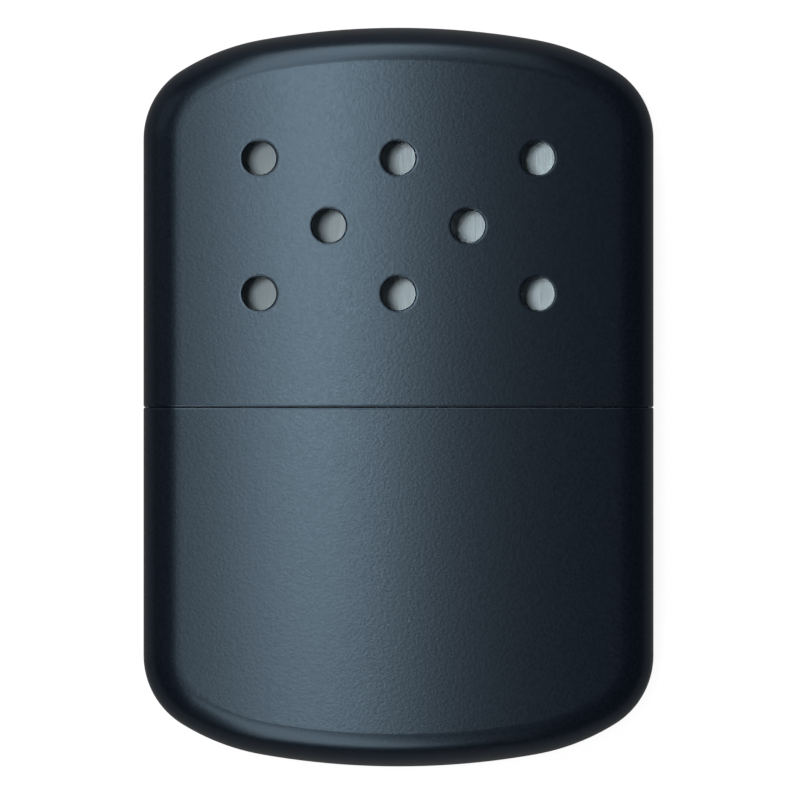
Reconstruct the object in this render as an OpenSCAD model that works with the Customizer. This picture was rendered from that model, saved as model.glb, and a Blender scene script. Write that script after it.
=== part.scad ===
// Pocket catalytic hand warmer: a flat flask in two drawn shells.
// The vented lid pulls off a locating collar; the burner pulls off the fill neck.
// The warmer lies on its back: X across it, Y along it towards the lid, Z out of its front face.

/* [Shells] */
// Width across the body
body_w = 68; // [62:0.5:74]
// Thickness through the middle of the faces
body_t = 13.6; // [13.4:0.1:16]
// Height of the vented lid above the seam
lid_h = 50.6; // [44:0.2:60]
// Height of the lower case below the seam
case_h = 47.9; // [40:0.2:60]
// Thickness of the drawn sheet
wall = 0.5; // [0.4:0.05:0.6]
// Gap that shows as the seam line
seam_gap = 0.2; // [0.1:0.05:0.4]
// Set-in of the rim on each side of the seam
lip = 0.25; // [0.1:0.05:0.3]

/* [Curves] */
// Radius of the gentle curve across each face
face_r = 195; // [170:5:300]
// Radius that turns the faces over into the edge
edge_r = 4.5; // [4:0.1:5.5]
// Radius of the crown at each end
crown_r = 105; // [90:1:130]
// Half angle that the crown spans
crown_a = 10; // [8:0.5:12]
// Radius of the shoulder between crown and corner
shoulder_r = 30; // [27:1:36]
// Radius of the corner
corner_r = 10.8; // [9:0.2:13]

/* [Vents] */
// Diameter of a vent
vent_d = 4.5; // [3.8:0.1:5.2]
// Radius of the edge at a vent's mouth
vent_round = 0.2; // [0.1:0.05:0.4]
// Depth of the edge turned in round a vent
vent_depth = 0.9; // [0.7:0.05:1.2]
// Distance between vents in a row
vent_pitch = 18.5; // [16:0.25:20]
// Distance between rows
vent_row_pitch = 9; // [7:0.25:10]
// Height of the lowest row above the seam
vent_foot = 15.1; // [14:0.1:17]

/* [Collar and tank] */
// Height that the collar stands above the seam
collar_up = 8; // [6:0.25:9]
// Depth that the collar reaches into the case
collar_down = 7; // [5:0.5:10]
// Sheet thickness of the collar, deck and burner
sheet = 0.4; // [0.3:0.05:0.5]
// Clearance of a sliding fit
slide_gap = 0.15; // [0.1:0.05:0.2]
// Clearance of pressed or soldered pieces
seat_gap = 0.05; // [0.03:0.01:0.1]
// Depth of the deck's top below the seam
deck_drop = 1.5; // [1:0.25:3]
// Depth of the flange turned down round the deck
deck_flange = 3; // [2:0.5:5]
// Height of the lip drawn up round the neck
deck_lip = 0.8; // [0.4:0.1:1.5]
// Clearance round the cotton
pad_gap = 0.3; // [0.2:0.05:0.5]

/* [Fill neck] */
// Length of the neck's oblong mouth, over the outside
neck_l = 26; // [22:0.5:30]
// Width of the mouth, over the outside
neck_w = 7.4; // [6.6:0.1:7.6]
// Height of the neck above the seam
neck_up = 4.2; // [4:0.1:4.6]
// Thickness of the neck's wall
neck_wall = 0.5; // [0.4:0.05:0.6]
// How far the rolled rim stands proud of the neck's wall
bead = 0.2; // [0.1:0.05:0.25]
// Width of the foot flange soldered under the deck
neck_foot = 1; // [0.6:0.1:1.2]
// Depth of the cotton below the neck's mouth
cotton_drop = 4.2; // [3.6:0.2:5]

/* [Burner] */
// Height of the skirt's foot above the seam
skirt_foot = 0.2; // [0:0.1:0.4]
// Height of the ledge above the seam
ledge_up = 5.4; // [5.2:0.1:5.8]
// Space for a grip spring at each end of the neck
spring_space = 1.4; // [1.3:0.1:1.8]
// Thickness of the grip springs
spring_t = 0.25; // [0.2:0.05:0.3]
// Width of the grip springs
spring_w = 3; // [2:0.25:3.5]
// Length of the grip springs
spring_l = 4.4; // [3.6:0.1:4.6]
// How far the grip springs bow towards the neck
spring_bow = 0.35; // [0.2:0.05:0.4]
// Height of the cage above the ledge
cage_h = 7.2; // [6.8:0.1:8]
// Radius of the cage's top edge
cage_round = 1.6; // [1:0.1:2]
// Windows along each side of the cage
window_count = 5; // [3:1:6]
// Width of the bars between the windows
window_bar = 0.9; // [0.5:0.1:1.4]
// Height of each window
window_h = 3.4; // [2.6:0.1:3.8]
// Width of each slot in the cage's top
slot_w = 3; // [2:0.25:3.5]
// Radius of the corners of windows and slots
window_r = 0.5; // [0.3:0.1:0.8]
// Clearance round the catalyst mat and the wires
mat_gap = 0.1; // [0.05:0.05:0.2]
// Diameter of the guard's wires
wire_d = 0.35; // [0.25:0.05:0.4]
// Distance between the guard's hoops
wire_pitch = 2.4; // [1.8:0.1:4]
// Holes along the screen under the mat
screen_holes = 7; // [4:1:8]
// Diameter of the holes in the screen
screen_hole_d = 1.8; // [1:0.1:2]

/* [Hidden] */
$fn = 48;

half_w = body_w/2;
half_t = body_t/2;
edge_steps = 6;     // points round each edge of a section
face_steps = 8;     // points across each face of a section
end_steps = 16;     // sections from the straight side up to the crown
past = 1;           // overrun of a cut

// Centres of the shoulder and corner arcs; the middle of the crown is at [0, 0]
shoulder_c = [(crown_r - shoulder_r)*sin(crown_a), (crown_r - shoulder_r)*cos(crown_a) - crown_r];
corner_x = half_w - corner_r;
corner_c = [corner_x, shoulder_c.y + sqrt(pow(shoulder_r - corner_r, 2) - pow(corner_x - shoulder_c.x, 2))];
shoulder_a = atan2(corner_c.x - shoulder_c.x, corner_c.y - shoulder_c.y);
end_drop = -corner_c.y;

collar_in = wall + slide_gap + sheet;    // set-in of the collar's inner face from the case's outer face
deck_top = -deck_drop;
neck_in_l = neck_l - 2*neck_wall;
neck_in_w = neck_w - 2*neck_wall;
skirt_in_w = neck_w + 2*(bead + slide_gap);
skirt_in_l = neck_l + 2*spring_space;
skirt_w = skirt_in_w + 2*sheet;
skirt_l = skirt_in_l + 2*sheet;
cage_w = skirt_in_w - 2*seat_gap;
cage_l = skirt_in_l - 2*seat_gap;
cage_in_w = cage_w - 2*sheet;
cage_in_l = cage_l - 2*sheet;
cage_side = cage_l - cage_w;             // length of the cage's straight sides
ledge_top = ledge_up + sheet;
cage_top = ledge_up + cage_h;
mat_foot = ledge_top + sheet;
mat_top = cage_top - sheet - wire_d - 2*mat_gap;
mat_set_in = wire_d + 2*mat_gap;         // room for the guard between the cage and the mat
skirt_ledge = (skirt_in_w - neck_in_w)/2;
wire_step = 1.6;                         // distance between the guard's long wires on a side

// Vent places [across, above the seam]: rows of three, two and three
vents = [for (row = [0:2], i = [0:(row == 1 ? 1 : 2)])
    [(i - (row == 1 ? 0.5 : 1))*vent_pitch, vent_foot + row*vent_row_pitch]];

// ---- The pillow form shared by both shells ----

function chord(r, d) = sqrt(max(0, r*r - d*d));

// Half width of the front outline, set in by i, at height z under the crown (z <= 0)
function outline_w(z, i) =
    z <= corner_c.y ? half_w - i :
    z <= corner_c.y + (corner_r - i)*cos(shoulder_a) ?
        corner_c.x + chord(corner_r - i, z - corner_c.y) :
    z <= shoulder_c.y + (shoulder_r - i)*cos(crown_a) ?
        shoulder_c.x + chord(shoulder_r - i, z - shoulder_c.y) :
    chord(crown_r - i, z + crown_r);

// Distance of a point inside the front outline
function inside(x, z) =
    z <= corner_c.y ? half_w - x :
    atan2(x, z + crown_r) < crown_a ? crown_r - norm([x, z + crown_r]) :
    atan2(x - shoulder_c.x, z - shoulder_c.y) < shoulder_a ? shoulder_r - norm([x, z] - shoulder_c) :
    corner_r - norm([x, z] - corner_c);

// Quarter round that turns the face over into the edge, for u from 0 at the edge to 1
function turn(u) = u >= 1 ? 1 : sqrt(max(0, 1 - pow(1 - u, 2)));

// Half thickness at a point, on the surface set in by i
function pillow_t(x, z, i) =
    (half_t - face_r + chord(face_r, x) - i)*turn((inside(x, z) - i)/(edge_r - i));

// Places of a section's points across its half width, from one edge to the other
edge_share = edge_r/half_w;
spread = concat(
    [for (k = [0:edge_steps - 1]) 1 - edge_share*(1 - cos(90*k/edge_steps))],
    [for (k = [0:face_steps]) (1 - edge_share)*(1 - 2*k/face_steps)],
    [for (k = [edge_steps - 1:-1:0]) edge_share*(1 - cos(90*k/edge_steps)) - 1]);
around = 2*(len(spread) - 1);

// One closed section: along the front face, then back along the rear face
function section_points(z, i) = let(w = outline_w(z, i), last = len(spread) - 1) concat(
    [for (k = [0:last]) [spread[k]*w, -pillow_t(abs(spread[k])*w, z, i)]],
    [for (k = [last - 1:-1:1]) [spread[k]*w, pillow_t(abs(spread[k])*w, z, i)]]);

// Closed pillow of height h, its surface set in by i, from the height foot up to its crown.
// rim sets the foot in further, as a rounded lip.
module pillow(h, i, foot, rim = 0) {
    drops = [for (k = [0:end_steps - 1]) i + (end_drop - i)*(1 - cos(90*(1 - k/end_steps)))];
    levels = concat(
        rim > 0 ? [[foot - h, i + rim], [foot - h + rim, i]] : [[foot - h, i]],
        [for (d = drops) [-d, i]]);
    rings = [for (l = levels) [for (p = section_points(l[0], l[1])) [p.x, p.y, l[0] + h]]];
    points = concat([for (ring = rings) each ring], [[0, 0, h - i]]);
    top = len(rings) - 1;
    walls = [for (r = [0:top - 1], k = [0:around - 1])
        let(a = r*around + k, b = r*around + (k + 1)%around)
        each [[a, b + around, a + around], [a, b, b + around]]];
    crown = [for (k = [0:around - 1]) [top*around + k, top*around + (k + 1)%around, len(points) - 1]];
    base = [[for (k = [around - 1:-1:0]) k]];
    polyhedron(points, concat(base, walls, crown));
}

// Straight band of the same section, set in by i
module band(i, z0, z1) {
    translate([0, 0, z0]) linear_extrude(z1 - z0) polygon(section_points(corner_c.y, i));
}

// Oblong with round ends, over its outside
module oblong(l, w) {
    square([l - w, w], center = true);
    for (s = [-1, 1]) translate([s*(l - w)/2, 0]) circle(d = w);
}

module oblong_bar(l, w, z0, z1) {
    translate([0, 0, z0]) linear_extrude(z1 - z0) oblong(l, w);
}

// Sweeps a profile round an oblong path; the profile's X is 0 on the path and points outward
module round_oblong(l, w) {
    for (s = [0, 1]) mirror([0, s, 0]) {
        translate([-(l - w)/2, -w/2, 0]) rotate([90, 0, 90]) linear_extrude(l - w) mirror([1, 0]) children();
        for (t = [0, 1]) mirror([t, 0, 0]) translate([(l - w)/2, 0, 0]) rotate([0, 0, -90])
            rotate_extrude(angle = 90) translate([w/2, 0]) children();
    }
}

// Oblong bar whose top edge is rounded by r
module loaf(l, w, z0, z1, r) {
    module half_profile() {
        translate([0, z0]) square([w/2, z1 - z0 - r]);
        translate([0, z0]) square([w/2 - r, z1 - z0]);
        translate([w/2 - r, z1 - r]) intersection() { circle(r); square(r); }
    }
    translate([-(l - w)/2, 0, 0]) rotate([90, 0, 90]) linear_extrude(l - w) {
        half_profile();
        mirror([1, 0]) half_profile();
    }
    for (s = [-1, 1]) translate([s*(l - w)/2, 0, 0]) rotate_extrude() half_profile();
}

// Sets its children square to the curved face at a place; their -Y points out of the face
module on_face(place) {
    translate([0, face_r - half_t, place.y]) rotate([0, 0, asin(place.x/face_r)])
        translate([0, -face_r, 0]) children();
}

module on_each_vent() {
    for (place = vents) on_face(place) rotate([-90, 0, 0]) children();
}

// ---- Shells ----

// Edge turned in round a vent
module vent_edge() {
    translate([0, 0, wall/2]) cylinder(d = vent_d + 2*wall, h = vent_depth - wall/2);
}

// Round hole with a rounded mouth
module vent_cut() {
    translate([0, 0, -past]) cylinder(d = vent_d, h = vent_depth + 2*past);
    rotate_extrude() difference() {
        translate([0, -past]) square([vent_d/2 + vent_round, vent_round + past]);
        translate([vent_d/2 + vent_round, vent_round]) circle(vent_round, $fn = 32);
    }
}

module lid_shell() {
    color("#2b333d") difference() {
        union() {
            difference() {
                pillow(lid_h, 0, seam_gap/2, lip);
                pillow(lid_h, wall, -past);
            }
            on_each_vent() vent_edge();
        }
        on_each_vent() vent_cut();
    }
}

module case_shell() {
    color("#262d36") mirror([0, 0, 1]) difference() {
        pillow(case_h, 0, seam_gap/2, lip);
        pillow(case_h, wall, -past);
    }
}

module seam_collar() {
    color("silver") difference() {
        band(wall + slide_gap, -collar_down, collar_up);
        band(collar_in, -collar_down - past, collar_up + past);
    }
}

// ---- Tank ----

// Pan set into the collar: its flange is turned down, and a lip is drawn up round the neck
module tank_deck() {
    pan = collar_in + seat_gap;
    under = deck_top - sheet;
    hole_l = neck_l + 2*seat_gap;
    hole_w = neck_w + 2*seat_gap;
    color("gainsboro") difference() {
        union() {
            band(pan, under - deck_flange, deck_top);
            oblong_bar(hole_l + 2*sheet, hole_w + 2*sheet, under, deck_top + deck_lip);
        }
        band(pan + sheet, under - deck_flange - past, under);
        oblong_bar(hole_l, hole_w, under - past, deck_top + deck_lip + past);
    }
}

// Drawn neck with a rolled rim at its mouth and a foot flange soldered under the deck
module fill_neck() {
    foot = deck_top - sheet;
    rim_r = neck_wall/2 + bead;
    color("silver") round_oblong(neck_l, neck_w) {
        translate([-neck_wall, foot - sheet]) square([neck_wall, neck_up - rim_r - foot + sheet]);
        translate([-neck_wall, foot - sheet]) square([neck_wall + neck_foot, sheet]);
        translate([-neck_wall/2, neck_up - rim_r]) circle(rim_r);
    }
}

// Cotton that fills the tank, with a tongue that stands up into the neck
module fuel_cotton() {
    pad_top = deck_top - sheet - deck_flange - pad_gap;
    tongue_in = neck_wall + pad_gap;
    color("ivory") {
        mirror([0, 0, 1]) pillow(case_h, collar_in + pad_gap, -pad_top);
        oblong_bar(neck_l - 2*tongue_in, neck_w - 2*tongue_in, pad_top - past, neck_up - cotton_drop);
    }
}

// ---- Burner ----

// Skirt that slips over the neck, with a ledge over the mouth and an upstand round the cage's foot
module burner_skirt() {
    color("silver") round_oblong(skirt_in_l, skirt_in_w) {
        translate([0, skirt_foot]) square([sheet, mat_foot - skirt_foot]);
        translate([-skirt_ledge, ledge_up]) square([skirt_ledge + sheet/2, sheet]);
    }
}

// Leaf springs inside the ends of the skirt, bowed towards the neck
module grip_springs() {
    bow_r = (pow(spring_l/2, 2) + pow(spring_bow, 2))/(2*spring_bow);
    face = neck_l/2 + bead + seat_gap;
    middle = (skirt_foot + ledge_up)/2;
    color("dimgray") for (s = [0, 1]) mirror([s, 0, 0])
        translate([face + bow_r, spring_w/2, middle]) rotate([90, 0, 0]) linear_extrude(spring_w)
            intersection() {
                difference() { circle(bow_r, $fn = 96); circle(bow_r - spring_t, $fn = 96); }
                translate([-bow_r, -spring_l/2]) square([bow_r, spring_l]);
            }
}

module window_row(h) {
    pitch = cage_side/window_count;
    w = pitch - window_bar;
    for (k = [0:window_count - 1]) translate([(k + 0.5)*pitch - cage_side/2, 0]) {
        square([w - 2*window_r, h], center = true);
        square([w, h - 2*window_r], center = true);
        for (i = [-1, 1], j = [-1, 1])
            translate([i*(w/2 - window_r), j*(h/2 - window_r)]) circle(window_r, $fn = 24);
    }
}

// Drawn cage with a row of windows in each side and a row of slots in its top
module burner_cage() {
    sill = (mat_foot + cage_top - cage_round)/2;
    color("silver") difference() {
        loaf(cage_l, cage_w, ledge_top, cage_top, cage_round);
        loaf(cage_in_l, cage_in_w, ledge_top - past, cage_top - sheet, cage_round - sheet);
        translate([0, cage_w, sill]) rotate([90, 0, 0]) linear_extrude(2*cage_w) window_row(window_h);
        translate([0, 0, cage_top - sheet - past]) linear_extrude(sheet + 2*past) window_row(slot_w);
    }
}

// Pierced plate on the ledge, between the fuel's vapour and the mat
module mat_screen() {
    pitch = (neck_in_l - neck_in_w)/(screen_holes - 1);
    color("gray") difference() {
        oblong_bar(cage_in_l - 2*seat_gap, cage_in_w - 2*seat_gap, ledge_top, mat_foot);
        for (k = [0:screen_holes - 1], j = [-1, 0, 1])
            translate([(k - (screen_holes - 1)/2)*pitch, j*screen_hole_d*1.15, ledge_top - past])
                cylinder(d = screen_hole_d, h = sheet + 2*past, $fn = 24);
    }
}

module catalyst_mat() {
    color("whitesmoke")
        loaf(cage_in_l - 2*mat_set_in, cage_in_w - 2*mat_set_in, mat_foot, mat_top, cage_round - sheet);
}

// Welded wire guard between the mat and the cage: hoops over the mat, joined by long wires
module wire_guard() {
    bend = cage_round - sheet;
    side = cage_in_w/2 - mat_gap - wire_d/2;
    top = cage_top - sheet - mat_gap - wire_d/2;
    hoops = floor(cage_side/2/wire_pitch);
    color("gray") {
        for (k = [-hoops:hoops]) translate([k*wire_pitch, 0, 0]) {
            translate([0, bend - side, top]) rotate([-90, 0, 0])
                cylinder(d = wire_d, h = 2*(side - bend), $fn = 16);
            for (s = [0, 1]) mirror([0, s, 0]) {
                translate([0, side, mat_foot]) cylinder(d = wire_d, h = top - bend - mat_foot, $fn = 16);
                translate([0, side - bend, top - bend]) rotate([90, 0, 90])
                    rotate_extrude(angle = 90) translate([bend, 0]) circle(d = wire_d, $fn = 16);
            }
        }
        for (s = [-1, 1], k = [0:2]) long_wire(hoops, [s*side, mat_foot + 1 + k*wire_step]);
        for (y = [-1, 1]) long_wire(hoops, [y, top]);
    }
}

module long_wire(hoops, at) {
    translate([-hoops*wire_pitch - wire_d, at[0], at[1]]) rotate([0, 90, 0])
        cylinder(d = wire_d, h = 2*(hoops*wire_pitch + wire_d), $fn = 16);
}

// The warmer laid on its back, its box centred on the origin and its back on Z = 0
module laid() {
    translate([0, (case_h - lid_h)/2, half_t]) rotate([-90, 0, 0]) children();
}

laid() lid_shell();
laid() case_shell();
laid() seam_collar();
laid() tank_deck();
laid() fill_neck();
laid() fuel_cotton();
laid() burner_skirt();
laid() grip_springs();
laid() burner_cage();
laid() mat_screen();
laid() catalyst_mat();
laid() wire_guard();
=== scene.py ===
import math

import bmesh
import bpy
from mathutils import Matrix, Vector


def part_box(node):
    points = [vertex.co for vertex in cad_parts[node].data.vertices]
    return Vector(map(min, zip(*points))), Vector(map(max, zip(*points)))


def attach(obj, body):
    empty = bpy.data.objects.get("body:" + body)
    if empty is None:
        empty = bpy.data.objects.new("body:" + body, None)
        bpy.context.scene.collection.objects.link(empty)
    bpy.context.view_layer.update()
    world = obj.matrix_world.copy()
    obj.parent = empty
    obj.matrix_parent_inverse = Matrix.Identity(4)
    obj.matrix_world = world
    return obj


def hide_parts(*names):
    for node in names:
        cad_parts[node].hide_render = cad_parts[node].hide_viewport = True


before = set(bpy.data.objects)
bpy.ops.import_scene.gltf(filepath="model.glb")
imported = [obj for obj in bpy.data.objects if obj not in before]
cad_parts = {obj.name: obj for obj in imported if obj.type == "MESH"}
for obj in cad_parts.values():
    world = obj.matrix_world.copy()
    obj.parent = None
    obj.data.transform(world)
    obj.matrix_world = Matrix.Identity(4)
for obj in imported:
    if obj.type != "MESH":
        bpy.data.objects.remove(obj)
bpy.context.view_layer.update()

# ---- Lid and lower case ----
# Two shells drawn from half-millimetre steel sheet, powder coated outside and left bare inside.
# Each end's outline is three tangent arcs a side, and the faces bow gently from side to side.
# The lid's eight vents are punched through its front face, with their edges turned in.

MM = 0.001
LID_LOW, LID_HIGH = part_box("lid_shell")
CASE_LOW, CASE_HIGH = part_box("case_shell")
HALF_W = (LID_HIGH.x - LID_LOW.x)/2
HALF_T = (LID_HIGH.z - LID_LOW.z)/2
SEAM_Y = (LID_LOW.y + CASE_HIGH.y)/2
WALL = 0.5*MM
FACE_R = 195*MM
EDGE_R = 4.5*MM
CROWN_R, CROWN_A = 105*MM, math.radians(10)
SHOULDER_R = 30*MM
CORNER_R = 10.8*MM
VENT_R, VENT_ROUND, VENT_DEPTH = 2.25*MM, 0.2*MM, 0.9*MM
VENT_BAND = 0.25*MM     # the flat ring round a vent's rounded edge
VENT_PATCH = 3.3*MM     # half the side of the square that is opened in the face for a vent
VENT_PITCH, VENT_ROW_PITCH, VENT_FOOT = 18.5*MM, 9*MM, 15.1*MM
SEAM_LIP, SEAM_HALF = 0.26*MM, 0.005*MM     # closed, the two rims are 0.01 mm apart
CROWN_DEPTH = 15*MM     # below the top by this much, the sides run straight
CROWN_STEPS, SHOULDER_STEPS, CORNER_STEPS, VENT_STEPS = 10, 12, 18, 4
SIDE_ROWS, FACE_COLUMNS, RIM_RINGS = 48, 40, 14
RIM_ROW = 0.35*MM
SAME_PLACE = 0.002*MM     # points closer than this count as one
SHELL_SMOOTH_A = math.radians(40)


def pick(mode, test):
    """Selects, in edit mode, just those verts, edges or faces for which test(element) is true."""
    bpy.ops.mesh.select_mode(type="VERT")
    bpy.ops.mesh.select_all(action="DESELECT")
    bpy.ops.mesh.select_mode(type=mode)
    form = bmesh.from_edit_mesh(bpy.context.object.data)
    for element in {"VERT": form.verts, "EDGE": form.edges, "FACE": form.faces}[mode]:
        element.select_set(bool(test(element)))
    form.select_flush_mode()
    bmesh.update_edit_mesh(bpy.context.object.data)


def near(a, b, within=SAME_PLACE):
    return abs(a - b) < within


def shape_modifier(piece, name, kind, **settings):
    """Adds a modifier to the active piece and applies it."""
    modifier = piece.modifiers.new(name, kind)
    for key, value in settings.items():
        setattr(modifier, key, value)
    bpy.ops.object.modifier_apply(modifier=name)


def start_piece(name, primitive, **place):
    """Adds a primitive, names it and opens it for editing with everything else deselected."""
    bpy.ops.object.select_all(action="DESELECT")
    primitive(**place)
    piece = bpy.context.object
    piece.name = piece.data.name = name
    bpy.ops.object.transform_apply(location=True, rotation=True, scale=True)
    bpy.ops.object.mode_set(mode="EDIT")
    bpy.ops.mesh.select_mode(type="VERT")
    bpy.ops.mesh.select_all(action="SELECT")
    return piece


def draw_half_shell(name, height, foot):
    """Draws one shell with its crown towards +Y, its seam on Y = 0 and its middle plane on Z = 0."""

    def is_cap(f):
        """The one face with many corners, which closes the outline."""
        return len(f.verts) > 8

    shoulder_x = (CROWN_R - SHOULDER_R)*math.sin(CROWN_A)
    shoulder_y = height - CROWN_R + (CROWN_R - SHOULDER_R)*math.cos(CROWN_A)
    corner_x = HALF_W - CORNER_R
    corner_y = shoulder_y + math.sqrt((SHOULDER_R - CORNER_R)**2 - (corner_x - shoulder_x)**2)
    shoulder_a = math.atan2(corner_x - shoulder_x, corner_y - shoulder_y)
    piece = start_piece(name, bpy.ops.mesh.primitive_plane_add, size=MM, location=(0, height, 0))
    bpy.ops.mesh.merge(type="CENTER")
    for steps, angle, x, y in ((CROWN_STEPS, CROWN_A, 0, height - CROWN_R),
                               (SHOULDER_STEPS, shoulder_a - CROWN_A, shoulder_x, shoulder_y),
                               (CORNER_STEPS, math.pi/2 - shoulder_a, corner_x, corner_y)):
        bpy.ops.mesh.spin(steps=steps, angle=angle, center=(x, y, 0), axis=(0, 0, 1))
    # the last row is narrow, so that the rim's rounding does not shade the side above it
    row = (foot + RIM_ROW - corner_y)/SIDE_ROWS
    for drop in [row]*SIDE_ROWS + [-RIM_ROW]:
        bpy.ops.mesh.extrude_region_move(TRANSFORM_OT_translate={"value": (0, drop, 0)})
    # a strip below the outline holds its edge while the rim is rolled over in rings
    pick("VERT", lambda v: True)
    bpy.ops.mesh.extrude_region_move(TRANSFORM_OT_translate={"value": (0, 0, -MM)})
    pick("VERT", lambda v: near(v.co.z, 0) and near(v.co.y, foot))
    bpy.ops.mesh.extrude_region_move(TRANSFORM_OT_translate={"value": (-HALF_W, 0, 0)})
    pick("VERT", lambda v: near(v.co.z, 0))
    bpy.ops.mesh.edge_face_add()
    turns = [math.pi/2*k/RIM_RINGS for k in range(RIM_RINGS + 1)]
    for low, high in zip(turns, turns[1:]):
        pick("FACE", is_cap)
        bpy.ops.mesh.inset(use_boundary=False, use_even_offset=True,
                           thickness=EDGE_R*(math.cos(low) - math.cos(high)),
                           depth=HALF_T*(math.sin(high) - math.sin(low)))
    pick("FACE", lambda f: is_cap(f) or f.calc_center_median().z < 0)
    bpy.ops.mesh.delete(type="FACE")
    # the face is ruled across to the middle line, then cut into columns
    pick("EDGE", lambda e: all(near(v.co.z, HALF_T) for v in e.verts) and e.is_boundary)
    bpy.ops.mesh.extrude_region_move()
    bpy.ops.transform.resize(value=(0, 1, 1), center_override=(0, 0, 0))
    pick("VERT", lambda v: near(v.co.x, 0))
    bpy.ops.mesh.remove_doubles(threshold=0.03*MM)
    pick("EDGE", lambda e: all(near(v.co.z, HALF_T) for v in e.verts)
         and near(min(v.co.x for v in e.verts), 0) and e.calc_length() > 0.1*MM
         and max(v.co.x for v in e.verts) > 0.5*MM)
    bpy.ops.mesh.subdivide(number_cuts=FACE_COLUMNS - 1)
    bpy.ops.object.mode_set(mode="OBJECT")
    shape_modifier(piece, "other side", "MIRROR", use_axis=(True, False, False),
                   merge_threshold=SAME_PLACE)
    return piece


def punch_vent(x, y):
    """Opens one vent in the flat face and turns its edge in."""
    drop, one_face = 0.5*MM, 0.8*MM
    support_r = VENT_R + VENT_ROUND + VENT_BAND
    pick("FACE", lambda f: near(f.calc_center_median().z, HALF_T)
         and abs(f.calc_center_median().x - x) < VENT_PATCH
         and abs(f.calc_center_median().y - y) < VENT_PATCH)
    bpy.ops.mesh.delete(type="FACE")

    def in_opening(e):
        return ((e.is_boundary or e.is_wire) and abs(e.verts[0].co.z - HALF_T) < MM
                and max(abs(e.verts[0].co.x - x), abs(e.verts[0].co.y - y)) < VENT_PATCH + one_face)

    pick("EDGE", in_opening)
    bpy.ops.mesh.subdivide(number_cuts=1)
    form = bmesh.from_edit_mesh(bpy.context.object.data)
    sides = sum(1 for e in form.edges if in_opening(e))
    # the mouth is bridged a little below the face, so that both rings run the same way, and raised
    bpy.ops.mesh.select_all(action="DESELECT")
    bpy.ops.mesh.primitive_circle_add(vertices=sides, radius=support_r,
                                      location=(x, y, HALF_T - drop))
    pick("EDGE", in_opening)
    bpy.ops.mesh.bridge_edge_loops()
    pick("VERT", lambda v: near(v.co.z, HALF_T - drop) and math.dist(v.co[:2], (x, y)) < VENT_PATCH)
    bpy.ops.transform.translate(value=(0, 0, drop))
    rounding = [math.pi/2*k/VENT_STEPS for k in range(VENT_STEPS + 1)]
    rings = [(VENT_R + VENT_ROUND*(1 - math.sin(a)), VENT_ROUND*(1 - math.cos(a))) for a in rounding]
    rings += [(VENT_R, VENT_DEPTH/2), (VENT_R, VENT_DEPTH)]
    last_r, last_depth = support_r, 0
    for ring_r, depth in rings:
        shrink = ring_r/last_r
        bpy.ops.mesh.extrude_region_move(TRANSFORM_OT_translate={"value": (0, 0, last_depth - depth)})
        bpy.ops.transform.resize(value=(shrink, shrink, 1), center_override=(x, y, 0))
        last_r, last_depth = ring_r, depth


def bow_face(piece, straight):
    """Lets the flat face fall away from the middle line to the gentle radius across it."""
    fall = FACE_R - math.sqrt(FACE_R**2 - HALF_W**2)
    group = piece.vertex_groups.new(name="fall")
    for v in piece.data.vertices:
        drop = FACE_R - math.sqrt(FACE_R**2 - v.co.x**2)
        on_face = abs(v.co.x) < HALF_W - EDGE_R and v.co.y < straight
        group.add([v.index], drop/fall*(1 if on_face else v.co.z/HALF_T), "REPLACE")
    shape_modifier(piece, "bow", "DISPLACE", direction="Z", mid_level=0, strength=-fall,
                   vertex_group="fall")
    piece.vertex_groups.clear()


def draw_shell(name, height, foot, vents, half_turn):
    """Makes a whole shell: front, back, sheet thickness and the rounded rim at the seam.
    The outside takes the coat and the inside is bare steel."""

    def is_outer_wall(f):
        """A face that looks away from the shell's middle line, which the seam's own edge doesn't."""
        middle = f.calc_center_median()
        return f.normal.x*middle.x + f.normal.z*middle.z > 0.1*MM and abs(f.normal.y) < 0.5

    front = draw_half_shell(name, height, foot)
    bpy.ops.object.duplicate()
    back = bpy.context.object
    straight = height - CROWN_DEPTH
    bow_face(back, straight)
    bpy.ops.transform.resize(value=(1, 1, -1), center_override=(0, 0, 0))
    bpy.ops.object.transform_apply(location=True, rotation=True, scale=True)
    bpy.ops.object.select_all(action="DESELECT")
    front.select_set(True)
    bpy.context.view_layer.objects.active = front
    bpy.ops.object.mode_set(mode="EDIT")
    for place in vents:
        punch_vent(*place)
    bpy.ops.object.mode_set(mode="OBJECT")
    bow_face(front, straight)
    back.select_set(True)
    bpy.ops.object.join()
    bpy.ops.object.mode_set(mode="EDIT")
    pick("VERT", lambda v: near(v.co.z, 0))
    bpy.ops.mesh.remove_doubles(threshold=0.003*MM)
    pick("VERT", lambda v: True)
    bpy.ops.mesh.normals_make_consistent(inside=False)
    bpy.ops.object.mode_set(mode="OBJECT")
    front.data.materials.append(coat)
    front.data.materials.append(drawn_steel)
    shape_modifier(front, "sheet", "SOLIDIFY", thickness=WALL, offset=-1, use_even_offset=True,
                   material_offset=1)
    bpy.ops.object.mode_set(mode="EDIT")
    pick("EDGE", lambda e: all(near(v.co.y, foot, 0.02*MM) for v in e.verts)
         and any(is_outer_wall(f) for f in e.link_faces))
    bpy.ops.mesh.bevel(offset=SEAM_LIP, segments=3, profile=0.5, affect="EDGES", clamp_overlap=False)
    bpy.ops.object.mode_set(mode="OBJECT")
    bpy.ops.object.shade_smooth_by_angle(angle=SHELL_SMOOTH_A)
    front.rotation_euler.z = math.pi if half_turn else 0
    bpy.ops.transform.translate(value=(0, SEAM_Y, HALF_T))
    bpy.ops.object.transform_apply(location=True, rotation=True, scale=True)
    return front


vent_rows = ((-1, 0, 1), (-0.5, 0.5), (-1, 0, 1))
vent_places = [(column*VENT_PITCH, VENT_FOOT + row*VENT_ROW_PITCH)
               for row, columns in enumerate(vent_rows) for column in columns]

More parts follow.
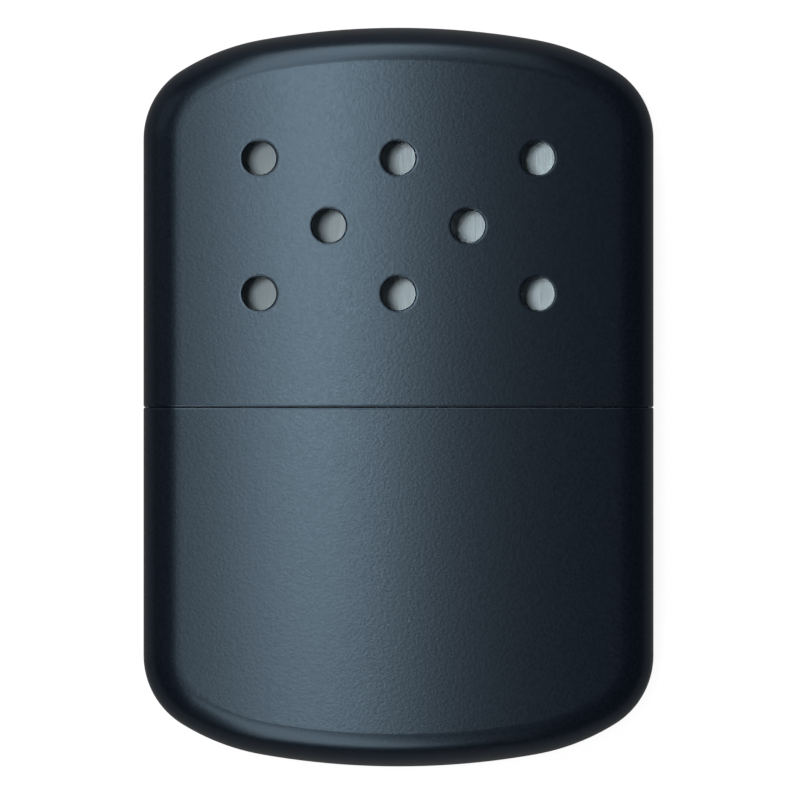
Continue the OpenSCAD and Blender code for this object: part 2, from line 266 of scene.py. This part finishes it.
NOISE_LOW, NOISE_HIGH = 0.3, 0.7     # nearly all of a noise's values lie between these


def start_finish(name, color, metallic, roughness):
    """Starts a material and hands it back with its node tree and shader."""
    finish = bpy.data.materials.new(name)
    finish.use_nodes = True
    shader = finish.node_tree.nodes["Principled BSDF"]
    shader.inputs["Base Color"].default_value = (*color, 1)
    shader.inputs["Metallic"].default_value = metallic
    shader.inputs["Roughness"].default_value = roughness
    return finish, finish.node_tree, shader


def add_grain(tree, size, detail=2):
    """Noise on the piece's own coordinates, with its grain size along X, Y and Z."""
    place = tree.nodes.new("ShaderNodeTexCoord")
    spacing = tree.nodes.new("ShaderNodeMapping")
    spacing.inputs["Scale"].default_value = [1/length for length in size]
    noise = tree.nodes.new("ShaderNodeTexNoise")
    noise.inputs["Scale"].default_value = 1
    noise.inputs["Detail"].default_value = detail
    tree.links.new(place.outputs["Object"], spacing.inputs["Vector"])
    tree.links.new(spacing.outputs["Vector"], noise.inputs["Vector"])
    return noise.outputs["Fac"]


def spread_grain(tree, grain, socket, low, high):
    """Lets a shader's value run from low to high with a grain."""
    spread = tree.nodes.new("ShaderNodeMapRange")
    spread.inputs["From Min"].default_value = NOISE_LOW
    spread.inputs["From Max"].default_value = NOISE_HIGH
    spread.inputs["To Min"].default_value = low
    spread.inputs["To Max"].default_value = high
    tree.links.new(grain, spread.inputs["Value"])
    tree.links.new(spread.outputs["Result"], socket)


def tint_grain(tree, grain, shader, *colors):
    """Lets the base colour run through the colours with a grain."""
    ramp = tree.nodes.new("ShaderNodeValToRGB")
    stops = ramp.color_ramp.elements
    for _ in colors[2:]:
        stops.new(0.5)
    for k, color in enumerate(colors):
        stops[k].position = NOISE_LOW + (NOISE_HIGH - NOISE_LOW)*k/(len(colors) - 1)
        stops[k].color = (*color, 1)
    tree.links.new(grain, ramp.inputs["Fac"])
    tree.links.new(ramp.outputs["Color"], shader.inputs["Base Color"])


def raise_grain(tree, grain, shader, depth):
    """Lets a grain stand proud of the surface by its depth."""
    bump = tree.nodes.new("ShaderNodeBump")
    bump.inputs["Strength"].default_value = 1
    bump.inputs["Distance"].default_value = depth
    tree.links.new(grain, bump.inputs["Height"])
    tree.links.new(bump.outputs["Normal"], shader.inputs["Normal"])


coat, tree, shader = start_finish("black powder coat", (0.003, 0.0045, 0.009), 0, 0.29)
shader.inputs["IOR"].default_value = 1.5
shader.inputs["Specular Tint"].default_value = (0.57, 0.81, 1, 1)
powder = add_grain(tree, (0.45*MM, 0.45*MM, 0.45*MM), detail=3)
raise_grain(tree, powder, shader, 0.011*MM)
spread_grain(tree, add_grain(tree, (0.6*MM, 0.6*MM, 0.6*MM)), shader.inputs["Roughness"], 0.28, 0.3)
tint_grain(tree, powder, shader, (0.0018, 0.0028, 0.0065), (0.0046, 0.0066, 0.012))

drawn_steel, tree, shader = start_finish("bare drawn steel", (0.46, 0.55, 0.59), 1, 0.5)
draw_marks = add_grain(tree, (0.22*MM, 5*MM, 5*MM), detail=3)
raise_grain(tree, draw_marks, shader, 0.006*MM)
spread_grain(tree, draw_marks, shader.inputs["Roughness"], 0.45, 0.55)
tint_grain(tree, draw_marks, shader, (0.38, 0.47, 0.51), (0.54, 0.63, 0.67))

for name, node, body, height, vents in (
        ("lid_drawn", "lid_shell", "lid", LID_HIGH.y - SEAM_Y, vent_places),
        ("case_drawn", "case_shell", "case", SEAM_Y - CASE_LOW.y, [])):
    shell = draw_shell(name, height, SEAM_HALF, vents, half_turn=body == "case")
    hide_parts(node)
    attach(shell, body)

# ---- Seam collar, tank deck and fill neck ----
# Brass pressings, nickel plated to a satin. The collar stands in the case and the lid slides over it.
# The deck closes the tank inside the collar, and the neck's foot is soldered under the deck.

NICKEL_BREAK = 0.06*MM
FLAT_A, SMOOTH_A, SHARP_A = math.radians(0.5), math.radians(35), math.radians(50)


def copy_node(name, node):
    """Starts a piece as a copy of a CAD node's mesh, merged, and leaves it open for editing."""
    bpy.ops.object.select_all(action="DESELECT")
    piece = bpy.data.objects.new(name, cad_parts[node].data.copy())
    bpy.context.scene.collection.objects.link(piece)
    piece.select_set(True)
    bpy.context.view_layer.objects.active = piece
    bpy.ops.object.mode_set(mode="EDIT")
    bpy.ops.mesh.select_all(action="SELECT")
    bpy.ops.mesh.remove_doubles(threshold=0.001*MM)
    return piece


def dress_node(name, node, finish, edge=0.0):
    """Copies a rigid node, breaks its sharp edges and gives it its finish."""
    piece = copy_node(name, node)
    bpy.ops.mesh.dissolve_limited(angle_limit=FLAT_A)
    bpy.ops.object.mode_set(mode="OBJECT")
    if edge:
        shape_modifier(piece, "broken edges", "BEVEL", width=edge, segments=2, limit_method="ANGLE",
                       angle_limit=SHARP_A, use_clamp_overlap=True)
    bpy.ops.object.shade_smooth_by_angle(angle=SMOOTH_A)
    piece.data.materials.clear()
    piece.data.materials.append(finish)
    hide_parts(node)
    return piece


nickel, tree, shader = start_finish("satin nickel plate", (0.5, 0.485, 0.455), 1, 0.5)
rub = add_grain(tree, (9*MM, 0.12*MM, 0.3*MM), detail=4)
raise_grain(tree, rub, shader, 0.002*MM)
spread_grain(tree, rub, shader.inputs["Roughness"], 0.46, 0.54)
tint_grain(tree, rub, shader, (0.45, 0.435, 0.405), (0.55, 0.535, 0.505))

for name, node in (("collar_band", "seam_collar"), ("deck_pan", "tank_deck"),
                   ("neck_tube", "fill_neck")):
    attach(dress_node(name, node, nickel, NICKEL_BREAK), "case")

# ---- Fuel cotton ----
# Raw cotton, packed by hand until it fills the tank, with a tongue that stands up into the neck.
# It is cream, matt and fibrous, and it shows only through the mouth of the neck.


def pad_node(name, node, voxel, tuft, finish):
    """Remakes a soft node as one closed lump of fibre, with its tufts pressed into it."""
    piece = copy_node(name, node)
    bpy.ops.object.mode_set(mode="OBJECT")
    shape_modifier(piece, "felted", "REMESH", mode="VOXEL", voxel_size=voxel, use_smooth_shade=True)
    shape_modifier(piece, "softened", "SMOOTH", factor=0.5, iterations=3)
    for scale, depth in ((6*tuft, tuft), (1.6*tuft, 0.35*tuft)):
        clouds = bpy.data.textures.new(name + " tufts", "CLOUDS")
        clouds.noise_scale = scale
        shape_modifier(piece, "tufts", "DISPLACE", texture=clouds, texture_coords="LOCAL",
                       mid_level=1, strength=depth)
    piece.data.materials.clear()
    piece.data.materials.append(finish)
    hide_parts(node)
    return piece


def add_fibres(tree, shader, length, across, depth, *colors):
    """Crossed strands of fibre: two stretched grains, along X and along Y, laid over each other."""
    over = tree.nodes.new("ShaderNodeMath")
    over.operation = "MAXIMUM"
    for socket, size in zip(over.inputs, ((length, across, across), (across, length, across))):
        tree.links.new(add_grain(tree, size, detail=4), socket)
    raise_grain(tree, over.outputs[0], shader, depth)
    tint_grain(tree, over.outputs[0], shader, *colors)


cotton, tree, shader = start_finish("packed cotton", (0.82, 0.78, 0.68), 0, 0.95)
shader.inputs["Sheen Weight"].default_value = 0.3
add_fibres(tree, shader, 2.5*MM, 0.09*MM, 0.12*MM,
           (0.6, 0.55, 0.44), (0.82, 0.78, 0.68), (0.9, 0.88, 0.81))
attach(pad_node("cotton_pack", "fuel_cotton", 0.7*MM, 0.5*MM, cotton), "case")

# ---- Burner skirt, cage and grip springs ----
# Stainless pressings. The skirt slips over the neck and its ledge carries the cage, crimped in above it.
# The cage takes on straw and blue tints where the mat heats it, and the leaf springs are left grey.

STEEL_BREAK = 0.05*MM
CAGE_LOW, CAGE_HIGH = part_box("burner_cage")


def brush_steel(tree, shader, low, high):
    """Brushes the steel along X, its roughness running from low to high, and hands back the marks."""
    marks = add_grain(tree, (4*MM, 0.1*MM, 0.8*MM), detail=3)
    raise_grain(tree, marks, shader, 0.004*MM)
    spread_grain(tree, marks, shader.inputs["Roughness"], low, high)
    return marks


stainless, tree, shader = start_finish("brushed stainless", (0.5, 0.5, 0.49), 1, 0.4)
brushing = brush_steel(tree, shader, 0.34, 0.46)
tint_grain(tree, brushing, shader, (0.43, 0.43, 0.42), (0.57, 0.57, 0.56))

# the heat tint deepens up the cage, with an uneven edge
tinted, tree, shader = start_finish("heat-tinted stainless", (0.6, 0.5, 0.36), 1, 0.38)
brush_steel(tree, shader, 0.32, 0.44)
place = tree.nodes.new("ShaderNodeTexCoord")
axes = tree.nodes.new("ShaderNodeSeparateXYZ")
tree.links.new(place.outputs["Object"], axes.inputs["Vector"])
up_cage = tree.nodes.new("ShaderNodeMapRange")
up_cage.inputs["From Min"].default_value = CAGE_LOW.y
up_cage.inputs["From Max"].default_value = CAGE_HIGH.y
up_cage.inputs["To Min"].default_value = 0.28
up_cage.inputs["To Max"].default_value = 0.62
tree.links.new(axes.outputs["Y"], up_cage.inputs["Value"])
heat = tree.nodes.new("ShaderNodeMath")
heat.operation = "MULTIPLY_ADD"
heat.inputs[1].default_value = 0.3
tree.links.new(add_grain(tree, (4*MM, 4*MM, 4*MM)), heat.inputs[0])
uneven = tree.nodes.new("ShaderNodeMath")
uneven.operation = "SUBTRACT"
uneven.inputs[1].default_value = 0.15
tree.links.new(up_cage.outputs["Result"], uneven.inputs[0])
tree.links.new(uneven.outputs[0], heat.inputs[2])
tint_grain(tree, heat.outputs[0], shader,
           (0.58, 0.57, 0.54), (0.62, 0.5, 0.3), (0.45, 0.27, 0.2), (0.25, 0.29, 0.42))

for name, node, finish, slot, edge in (
        ("skirt_shell", "burner_skirt", stainless, "bright_plate", STEEL_BREAK),
        ("cage_shell", "burner_cage", tinted, "bright_plate", STEEL_BREAK),
        ("leaf_springs", "grip_springs", stainless, "spring_steel", 0)):
    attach(dress_node(name, node, finish, edge), "burner")

# ---- Mat screen and wire guard ----
# A pierced steel plate lies on the ledge under the mat, and welded wire hoops hold the mat off the cage.
# Both darken with heat.

dark_steel, tree, shader = start_finish("heat-darkened steel", (0.32, 0.3, 0.28), 1, 0.42)
scale_marks = add_grain(tree, (0.6*MM, 0.6*MM, 0.6*MM), detail=5)
raise_grain(tree, scale_marks, shader, 0.01*MM)
spread_grain(tree, scale_marks, shader.inputs["Roughness"], 0.34, 0.55)
tint_grain(tree, scale_marks, shader, (0.24, 0.21, 0.2), (0.35, 0.33, 0.31), (0.42, 0.38, 0.33))

for name, node in (("pierced_screen", "mat_screen"), ("guard_wires", "wire_guard")):
    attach(dress_node(name, node, dark_steel), "burner")

# ---- Catalyst mat ----
# Glass fibre, needled into a thick mat and dosed with platinum, which greys it unevenly.
# It lies on the screen, and its fibres show through the cage's windows.

glass_fibre, tree, shader = start_finish("platinised glass fibre", (0.5, 0.5, 0.48), 0, 0.85)
shader.inputs["Sheen Weight"].default_value = 0.2
add_fibres(tree, shader, 1.6*MM, 0.07*MM, 0.1*MM,
           (0.22, 0.22, 0.22), (0.5, 0.5, 0.48), (0.78, 0.78, 0.75))
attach(pad_node("fibre_mat", "catalyst_mat", 0.25*MM, 0.16*MM, glass_fibre), "burner")

# ---- Camera, floor and light ----
# The camera looks straight down on the warmer's front, lying on a plain white floor.
# A softbox overhead and cards round it light the coat, and the floor is bright by itself.

PX_PER_M, FRAME_PX = 7500, 800
AIM_X_PX, AIM_Y_PX = 1.5, -2.9     # where the frame's middle falls on the warmer
CAMERA_UP, SENSOR_MM = 1.6, 36
FLOOR_SIZE, FLOOR_DROP = 4, 0.0002

scene = bpy.context.scene
camera = bpy.data.cameras.new("camera")
camera_place = bpy.data.objects.new("camera", camera)
scene.collection.objects.link(camera_place)
scene.camera = camera_place
camera.sensor_width = SENSOR_MM
camera.lens = SENSOR_MM*(CAMERA_UP - HALF_T)/(FRAME_PX/PX_PER_M)
camera_place.location = (AIM_X_PX/PX_PER_M, AIM_Y_PX/PX_PER_M, CAMERA_UP)

bpy.ops.mesh.primitive_plane_add(size=FLOOR_SIZE, location=(0, 0, -FLOOR_DROP))
floor = bpy.context.object
floor.name = "floor"
bpy.ops.object.transform_apply(location=True, rotation=True, scale=True)
paper = bpy.data.materials.new("white floor")
paper.use_nodes = True
nodes, links = paper.node_tree.nodes, paper.node_tree.links
paint = nodes["Principled BSDF"]
paint.inputs["Base Color"].default_value = (0.17, 0.17, 0.17, 1)
paint.inputs["Roughness"].default_value = 0.9
paint.inputs["Specular IOR Level"].default_value = 0
rays = nodes.new("ShaderNodeLightPath")
seen = nodes.new("ShaderNodeMath")
seen.operation = "ADD"
links.new(rays.outputs["Is Glossy Ray"], seen.inputs[0])
links.new(rays.outputs["Is Transmission Ray"], seen.inputs[1])
faint = nodes.new("ShaderNodeMath")
faint.operation = "MULTIPLY"
faint.inputs[1].default_value = 0.05
links.new(seen.outputs[0], faint.inputs[0])
bright = nodes.new("ShaderNodeMath")
bright.operation = "MULTIPLY_ADD"
bright.inputs[1].default_value = 0.9
links.new(rays.outputs["Is Camera Ray"], bright.inputs[0])
links.new(faint.outputs[0], bright.inputs[2])
paint.inputs["Emission Color"].default_value = (1, 1, 1, 1)
links.new(bright.outputs[0], paint.inputs["Emission Strength"])
floor.data.materials.append(paper)

sky = bpy.data.worlds.new("room")
scene.world = sky
sky.use_nodes = True
sky.node_tree.nodes["Background"].inputs["Color"].default_value = (0.85, 0.93, 1, 1)
sky.node_tree.nodes["Background"].inputs["Strength"].default_value = 0.03


def softbox(name, distance, degrees_x, degrees_y, size_x, size_y, radiance):
    """Hangs a rectangular lamp round the object, so many degrees in X and Y from straight above."""
    angle_x, angle_y = math.radians(degrees_x), math.radians(degrees_y)
    light = bpy.data.lights.new(name, "AREA")
    light.shape = "RECTANGLE"
    light.size, light.size_y = size_x, size_y
    light.energy = radiance*math.pi*size_x*size_y
    lamp = bpy.data.objects.new(name, light)
    scene.collection.objects.link(lamp)
    lamp.location = (distance*math.sin(angle_x)*math.cos(angle_y), distance*math.sin(angle_y),
                     distance*math.cos(angle_x)*math.cos(angle_y))
    lamp.rotation_euler = (-angle_y, angle_x, 0)


softbox("overhead softbox", 2.2, -6.9, 2, 0.27, 0.2, 46)
softbox("overhead side panel", 2.2, -16.5, 2, 0.31, 0.26, 2.4)
softbox("upper card", 1.0, -15, 44, 0.42, 1.3, 4.6)
softbox("lower card", 1.0, -16, -40, 0.42, 1.0, 4.2)
softbox("faint upper card", 1.1, 8, 55, 0.6, 1.2, 0.5)
softbox("wide left panel", 0.9, -68, 20, 0.5, 0.5, 0.4)

scene.view_settings.view_transform = "Standard"
